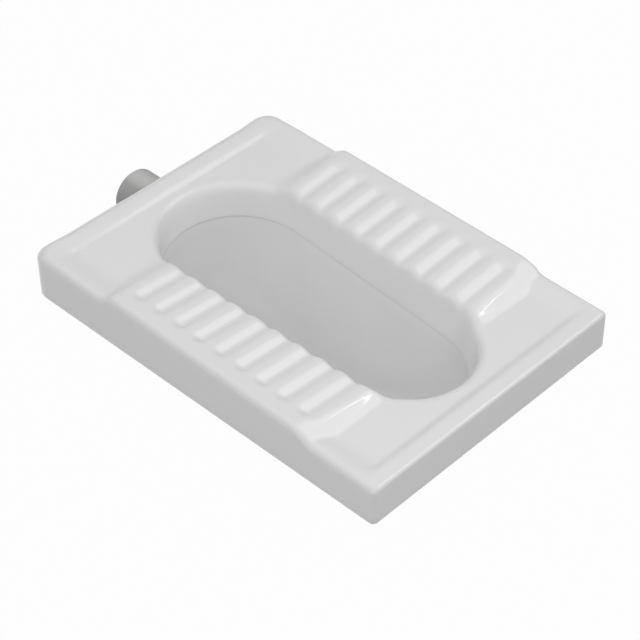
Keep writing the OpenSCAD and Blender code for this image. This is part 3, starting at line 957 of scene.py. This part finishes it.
# Name, place, target, size in metres and power in watts
LAMPS = (("front_right_lamp", (1.6, -0.98, 1.9), (0, 0, 0), 2.0, 16.8),
         ("front_left_lamp", (-1.43, -1.43, 1.64), (0, 0, 0), 2.0, 26.2),
         ("rear_left_lamp", (-1.29, 1.55, 1.63), (0, 0, 0), 2.0, 14.5),
         ("right_spark", (1.17, -0.71, 1.74), (-0.1, -0.18, 0.06), 0.09, 0.26),
         ("left_spark", (-0.3, -0.3, 2.2), (0.07, 0.22, 0.06), 0.12, 0.5))
CAMERA_ANGLES = (-45.54, 41.691, -0.638)  # Turn, height and roll in degrees
CAMERA_TARGET, CAMERA_DISTANCE = (0.000613, -0.009174, 0), 2.591382
CAMERA_LENS, CAMERA_SENSOR = 114.71, 36.0


def area_lamp(name, place, target, size, power):
    """A square lamp that faces a point; the large soft ones to the left cast no highlights."""
    data = bpy.data.lights.new(name, "AREA")
    data.shape = "SQUARE"
    data.size = size
    data.energy = power
    lamp = bpy.data.objects.new(name, data)
    lamp.location = place
    lamp.visible_glossy = size < 1.0 or place[0] > 0
    lamp.rotation_euler = (Vector(target) - Vector(place)).to_track_quat("-Z", "Y").to_euler()
    bpy.context.scene.collection.objects.link(lamp)


def shown_white(tree):
    """1 for camera, glossy and transmission rays, which see the studio as white."""
    path = node(tree, "LightPath").outputs
    seen = path["Is Camera Ray"]
    for kind in ("Is Glossy Ray", "Is Transmission Ray"):
        seen = node(tree, "Math", {0: seen, 1: path[kind]}, operation="MAXIMUM").outputs[0]
    return seen


def backdrop_material(finish):
    """Pale floor that shows white and keeps the shadow."""
    material = bpy.data.materials.new("studio_floor")
    material.use_nodes = True
    tree = material.node_tree
    tree.nodes.clear()
    share = node(tree, "Math", {0: shown_white(tree), 1: FLOOR_WHITE}, operation="MULTIPLY")
    diffuse = node(tree, "BsdfDiffuse", {"Color": (*finish.studio, 1)})
    glow = node(tree, "Emission", {"Strength": 1.0})
    mix = node(tree, "MixShader", {0: share.outputs[0], 1: diffuse.outputs[0], 2: glow.outputs[0]})
    node(tree, "OutputMaterial", {"Surface": mix.outputs[0]})
    return material


def studio_world():
    """Even soft light from all round, seen as white."""
    world = bpy.data.worlds.new("studio")
    world.use_nodes = True
    tree = world.node_tree
    soft = tree.nodes["Background"]
    soft.inputs["Color"].default_value = (1, 1, 1, 1)
    soft.inputs["Strength"].default_value = WORLD_LIGHT
    white = node(tree, "Background", {"Strength": 1.0})
    mix = node(tree, "MixShader", {0: shown_white(tree), 1: soft.outputs[0], 2: white.outputs[0]})
    tree.links.new(mix.outputs[0], tree.nodes["World Output"].inputs["Surface"])
    return world


def photo_camera():
    """The camera at the photograph's place, turn and lens."""
    data = bpy.data.cameras.new("camera")
    data.sensor_width = CAMERA_SENSOR
    data.lens = CAMERA_LENS
    camera = bpy.data.objects.new("camera", data)
    turn, tilt, roll = (math.radians(angle) for angle in CAMERA_ANGLES)
    back = Vector((math.sin(turn) * math.cos(tilt), -math.cos(turn) * math.cos(tilt),
                   math.sin(tilt)))
    right = Vector((math.cos(turn), math.sin(turn), 0.0))
    up = back.cross(right)
    across = right * math.cos(roll) + up * math.sin(roll)
    above = -right * math.sin(roll) + up * math.cos(roll)
    basis = Matrix((across, above, back)).transposed()
    place = Matrix.Translation(Vector(CAMERA_TARGET) + back * CAMERA_DISTANCE)
    camera.matrix_world = place @ basis.to_4x4()
    bpy.context.scene.collection.objects.link(camera)
    return camera


class PAN_OT_stage(bpy.types.Operator):
    """Sets the floor, the soft studio light and the camera"""
    bl_idname = "pan.stage"
    bl_label = "Stage"

    def execute(self, context):
        scene = context.scene
        bm = bmesh.new()
        bmesh.ops.create_grid(bm, x_segments=2, y_segments=2, size=FLOOR_HALF)
        bmesh.ops.translate(bm, verts=bm.verts, vec=(0, 0, CAD_BOX[0][2]))
        floor = linked_object("studio_floor", bm)
        floor.data.materials.append(backdrop_material(scene.pan_finish))
        scene.world = studio_world()
        for lamp in LAMPS:
            area_lamp(*lamp)
        scene.camera = photo_camera()
        scene.view_settings.view_transform = "Standard"
        return {"FINISHED"}


class PAN_PT_panel(bpy.types.Panel):
    """Sidebar panel that lists the sizes and the steps"""
    bl_idname = "PAN_PT_panel"
    bl_label = "Squat toilet"
    bl_space_type = "VIEW_3D"
    bl_region_type = "UI"
    bl_category = "Squat toilet"

    def draw(self, context):
        layout = self.layout
        for group in GROUPS:
            box = layout.box()
            settings = getattr(context.scene, group)
            for name in settings.bl_rna.properties.keys():
                if name not in {"rna_type", "name"}:
                    box.prop(settings, name)
        for operator in OPERATORS:
            layout.operator(operator.bl_idname)


GROUPS = {"pan_deck": DeckSizes, "pan_footrests": FootrestSizes, "pan_under": UnderSizes,
          "pan_finish": Finishes}
OPERATORS = (PAN_OT_deck, PAN_OT_bowl, PAN_OT_horn, PAN_OT_outlet, PAN_OT_stage)


def register():
    for cls in (*GROUPS.values(), *OPERATORS, PAN_PT_panel):
        bpy.utils.register_class(cls)
    for name, group in GROUPS.items():
        setattr(bpy.types.Scene, name, PointerProperty(type=group))


def unregister():
    for name in GROUPS:
        delattr(bpy.types.Scene, name)
    for cls in (PAN_PT_panel, *reversed(OPERATORS), *reversed(GROUPS.values())):
        bpy.utils.unregister_class(cls)


def main():
    register()
    bpy.ops.pan.deck()
    bpy.ops.pan.bowl()
    bpy.ops.pan.horn()
    bpy.ops.pan.outlet()
    bpy.ops.pan.stage()


if __name__ == "__main__":
    main()
